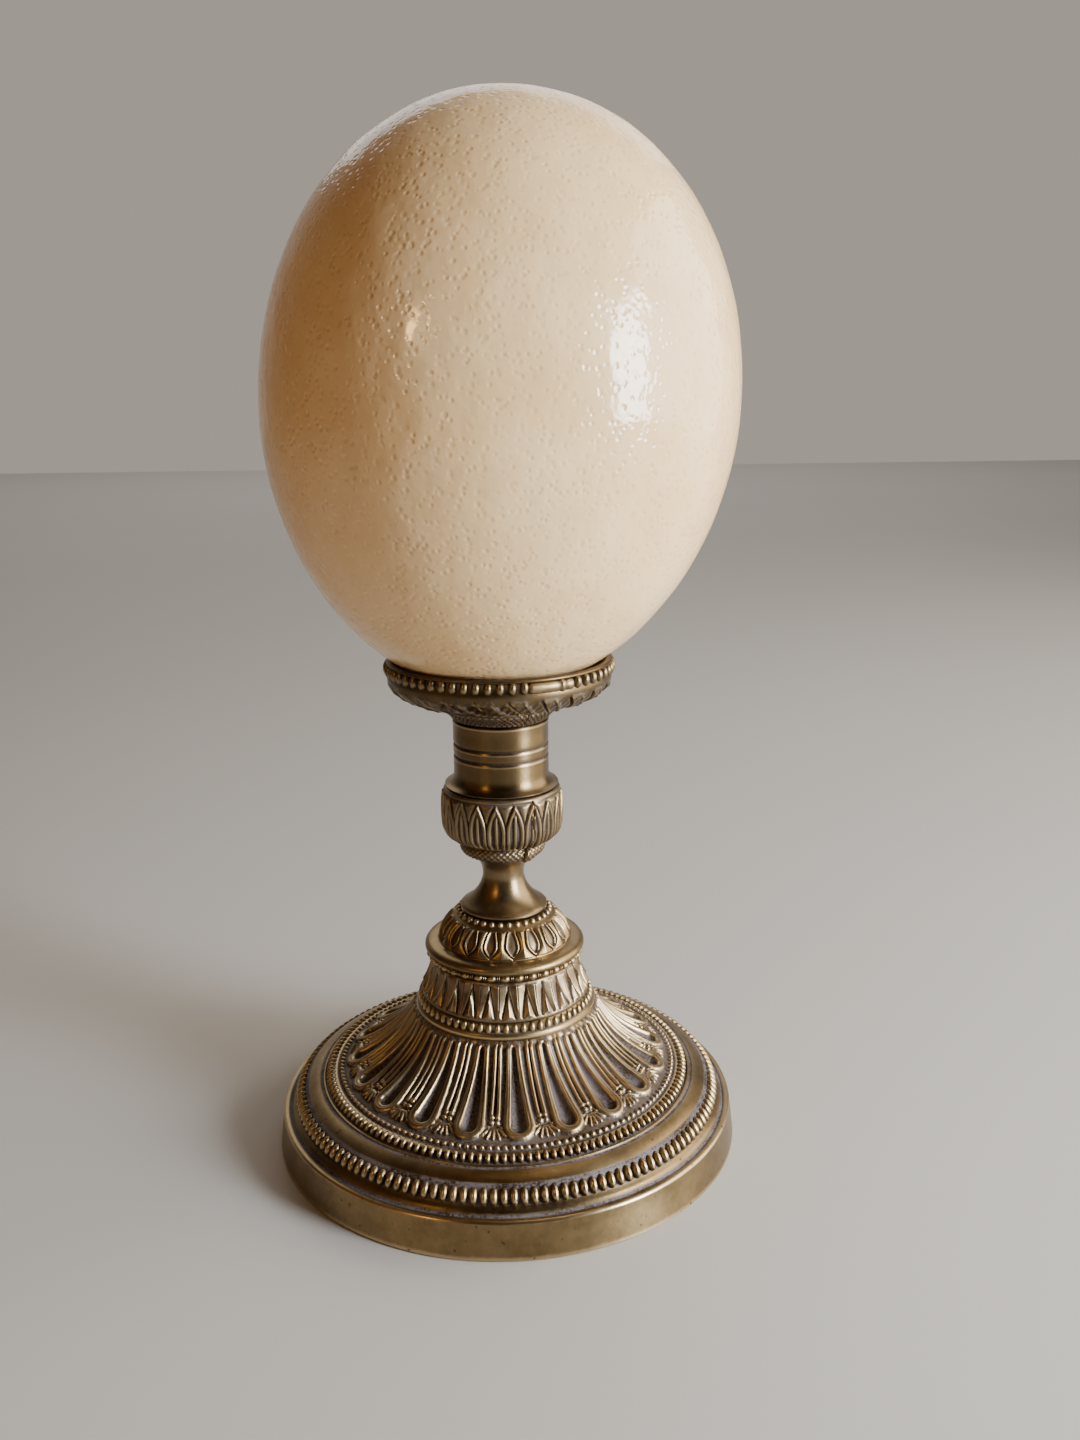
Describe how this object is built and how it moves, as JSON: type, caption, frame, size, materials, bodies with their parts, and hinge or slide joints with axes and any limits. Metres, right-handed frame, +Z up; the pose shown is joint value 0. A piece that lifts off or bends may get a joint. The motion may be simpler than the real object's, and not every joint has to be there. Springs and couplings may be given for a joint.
{
  "type": "ostrich egg on a brass stand",
  "caption": "Glossy cream ostrich egg resting in the leafy drip pan of an ornate antique brass candlestick-form stand with a fluted, beaded round foot.",
  "frame": {"origin": "centre of the foot's resting ring, on the surface that the stand stands on", "axes": "+Z up the stand, -Y towards the viewer, and the egg's top leans a little towards +X"},
  "size_m": [0.1366, 0.1366, 0.2892],
  "materials": {
    "eggshell": "glossy, pitted cream shell",
    "antique_brass": "satin, dark in the recesses and worn bright on the edges",
    "fixing_steel": "dull, oiled"
  },
  "bodies": {
    "root": {"egg": "eggshell", "drip_pan": "antique_brass", "candle_tube": "antique_brass", "leaf_cup": "antique_brass", "stem": "antique_brass", "leaf_dome": "antique_brass", "leaf_drum": "antique_brass", "foot": "antique_brass", "tie_rod": "fixing_steel", "washer": "fixing_steel", "nut": "fixing_steel"}
  },
  "joints": []
}
